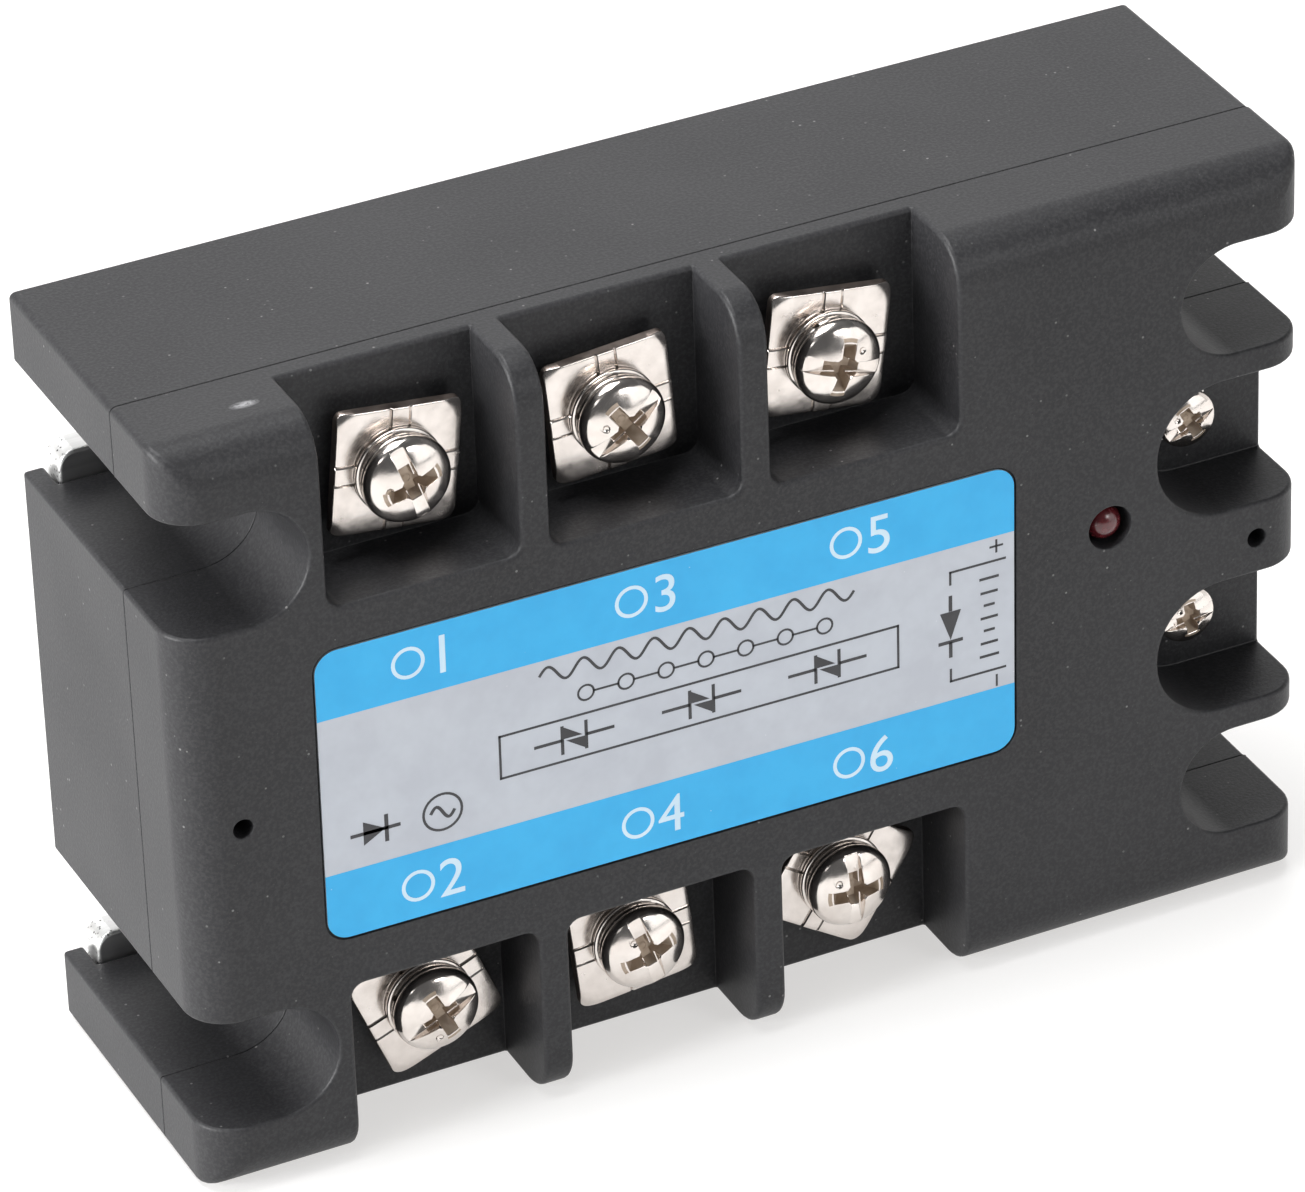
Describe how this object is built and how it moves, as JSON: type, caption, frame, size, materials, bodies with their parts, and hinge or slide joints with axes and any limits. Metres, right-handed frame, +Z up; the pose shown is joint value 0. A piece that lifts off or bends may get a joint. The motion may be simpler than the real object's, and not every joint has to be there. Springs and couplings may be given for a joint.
{
  "type": "solid state relay",
  "caption": "Black three-phase solid state relay module with screw terminals in open pockets, a status light, a printed label and a metal base plate with slotted mounts.",
  "frame": {"origin": "middle of the footprint, on the surface the relay's long edge stands on", "axes": "+X along the length towards the input terminals, -Y the front face, +Y the metal base plate, +Z up"},
  "size_m": [0.105, 0.032, 0.072],
  "materials": {
    "black_moulded_plastic": "fine moulded texture",
    "bare_aluminium": "as cut, dull",
    "label_film": "printed film, satin",
    "red_led_resin": "clear moulded resin",
    "board_laminate": "green solder mask",
    "nickel_plated_steel": "bright nickel plate",
    "plated_spring_steel": "plated, satin",
    "tinned_copper": "tin plated copper, satin",
    "brass": "plain brass",
    "white_ceramic": "fired, matte",
    "chip_resin": "moulded resin",
    "capacitor_case": "moulded case",
    "resistor_coat": "lacquer"
  },
  "bodies": {
    "housing": {"front_cover": "black_moulded_plastic", "rear_housing": "black_moulded_plastic", "base_plate": "bare_aluminium", "label": "label_film", "indicator_led": "red_led_resin", "control_board": "board_laminate", "terminal_nut_1": "brass", "busbar_1": "tinned_copper", "terminal_nut_3": "brass", "busbar_3": "tinned_copper", "terminal_nut_5": "brass", "busbar_5": "tinned_copper", "terminal_nut_2": "brass", "busbar_2": "tinned_copper", "terminal_nut_4": "brass", "busbar_4": "tinned_copper", "terminal_nut_6": "brass", "busbar_6": "tinned_copper", "input_nut_plus": "brass", "input_terminal_plus": "tinned_copper", "input_nut_minus": "brass", "input_terminal_minus": "tinned_copper", "ceramic_tile_1": "white_ceramic", "thyristor_pair_1": "chip_resin", "optocoupler_1": "chip_resin", "snubber_capacitor_1": "capacitor_case", "snubber_resistor_1": "resistor_coat", "ceramic_tile_2": "white_ceramic", "thyristor_pair_2": "chip_resin", "optocoupler_2": "chip_resin", "snubber_capacitor_2": "capacitor_case", "snubber_resistor_2": "resistor_coat", "ceramic_tile_3": "white_ceramic", "thyristor_pair_3": "chip_resin", "optocoupler_3": "chip_resin", "snubber_capacitor_3": "capacitor_case", "snubber_resistor_3": "resistor_coat"},
    "clamp_1": {"spring_washer_1": "plated_spring_steel", "clamp_washer_1": "nickel_plated_steel"},
    "screw_1": {"terminal_screw_1": "nickel_plated_steel"},
    "clamp_3": {"spring_washer_3": "plated_spring_steel", "clamp_washer_3": "nickel_plated_steel"},
    "screw_3": {"terminal_screw_3": "nickel_plated_steel"},
    "clamp_5": {"spring_washer_5": "plated_spring_steel", "clamp_washer_5": "nickel_plated_steel"},
    "screw_5": {"terminal_screw_5": "nickel_plated_steel"},
    "clamp_2": {"spring_washer_2": "plated_spring_steel", "clamp_washer_2": "nickel_plated_steel"},
    "screw_2": {"terminal_screw_2": "nickel_plated_steel"},
    "clamp_4": {"spring_washer_4": "plated_spring_steel", "clamp_washer_4": "nickel_plated_steel"},
    "screw_4": {"terminal_screw_4": "nickel_plated_steel"},
    "clamp_6": {"spring_washer_6": "plated_spring_steel", "clamp_washer_6": "nickel_plated_steel"},
    "screw_6": {"terminal_screw_6": "nickel_plated_steel"},
    "clamp_plus": {"input_clamp_washer_plus": "nickel_plated_steel"},
    "screw_plus": {"input_screw_plus": "nickel_plated_steel"},
    "clamp_minus": {"input_clamp_washer_minus": "nickel_plated_steel"},
    "screw_minus": {"input_screw_minus": "nickel_plated_steel"}
  },
  "joints": [
    {"name": "screw_1_travel", "type": "slide", "parent": "housing", "child": "clamp_1", "axis": [0, -1, 0], "range_m": [0, 0.0035]},
    {"name": "screw_1_turn", "type": "hinge", "parent": "clamp_1", "child": "screw_1", "pos_m": [-0.0296, -0.0136, 0.0621], "axis": [0, -1, 0], "range_deg": [0, 1800]},
    {"name": "screw_3_travel", "type": "slide", "parent": "housing", "child": "clamp_3", "axis": [0, -1, 0], "range_m": [0, 0.0035]},
    {"name": "screw_3_turn", "type": "hinge", "parent": "clamp_3", "child": "screw_3", "pos_m": [-0.01015, -0.0136, 0.0621], "axis": [0, -1, 0], "range_deg": [0, 1800]},
    {"name": "screw_5_travel", "type": "slide", "parent": "housing", "child": "clamp_5", "axis": [0, -1, 0], "range_m": [0, 0.0035]},
    {"name": "screw_5_turn", "type": "hinge", "parent": "clamp_5", "child": "screw_5", "pos_m": [0.0097, -0.0136, 0.0621], "axis": [0, -1, 0], "range_deg": [0, 1800]},
    {"name": "screw_2_travel", "type": "slide", "parent": "housing", "child": "clamp_2", "axis": [0, -1, 0], "range_m": [0, 0.0035]},
    {"name": "screw_2_turn", "type": "hinge", "parent": "clamp_2", "child": "screw_2", "pos_m": [-0.0296, -0.0136, 0.0099], "axis": [0, -1, 0], "range_deg": [0, 1800]},
    {"name": "screw_4_travel", "type": "slide", "parent": "housing", "child": "clamp_4", "axis": [0, -1, 0], "range_m": [0, 0.0035]},
    {"name": "screw_4_turn", "type": "hinge", "parent": "clamp_4", "child": "screw_4", "pos_m": [-0.01015, -0.0136, 0.0099], "axis": [0, -1, 0], "range_deg": [0, 1800]},
    {"name": "screw_6_travel", "type": "slide", "parent": "housing", "child": "clamp_6", "axis": [0, -1, 0], "range_m": [0, 0.0035]},
    {"name": "screw_6_turn", "type": "hinge", "parent": "clamp_6", "child": "screw_6", "pos_m": [0.0097, -0.0136, 0.0099], "axis": [0, -1, 0], "range_deg": [0, 1800]},
    {"name": "screw_plus_travel", "type": "slide", "parent": "housing", "child": "clamp_plus", "axis": [0, -1, 0], "range_m": [0, 0.0025]},
    {"name": "screw_plus_turn", "type": "hinge", "parent": "clamp_plus", "child": "screw_plus", "pos_m": [0.0439, -0.0111, 0.04585], "axis": [0, -1, 0], "range_deg": [0, 1800]},
    {"name": "screw_minus_travel", "type": "slide", "parent": "housing", "child": "clamp_minus", "axis": [0, -1, 0], "range_m": [0, 0.0025]},
    {"name": "screw_minus_turn", "type": "hinge", "parent": "clamp_minus", "child": "screw_minus", "pos_m": [0.0439, -0.0111, 0.02615], "axis": [0, -1, 0], "range_deg": [0, 1800]}
  ],
  "couplings": [
    {"joint": "screw_1_turn", "follows": "screw_1_travel", "rad_per_m": 8975.9},
    {"joint": "screw_3_turn", "follows": "screw_3_travel", "rad_per_m": 8975.9},
    {"joint": "screw_5_turn", "follows": "screw_5_travel", "rad_per_m": 8975.9},
    {"joint": "screw_2_turn", "follows": "screw_2_travel", "rad_per_m": 8975.9},
    {"joint": "screw_4_turn", "follows": "screw_4_travel", "rad_per_m": 8975.9},
    {"joint": "screw_6_turn", "follows": "screw_6_travel", "rad_per_m": 8975.9},
    {"joint": "screw_plus_turn", "follows": "screw_plus_travel", "rad_per_m": 12566},
    {"joint": "screw_minus_turn", "follows": "screw_minus_travel", "rad_per_m": 12566}
  ]
}
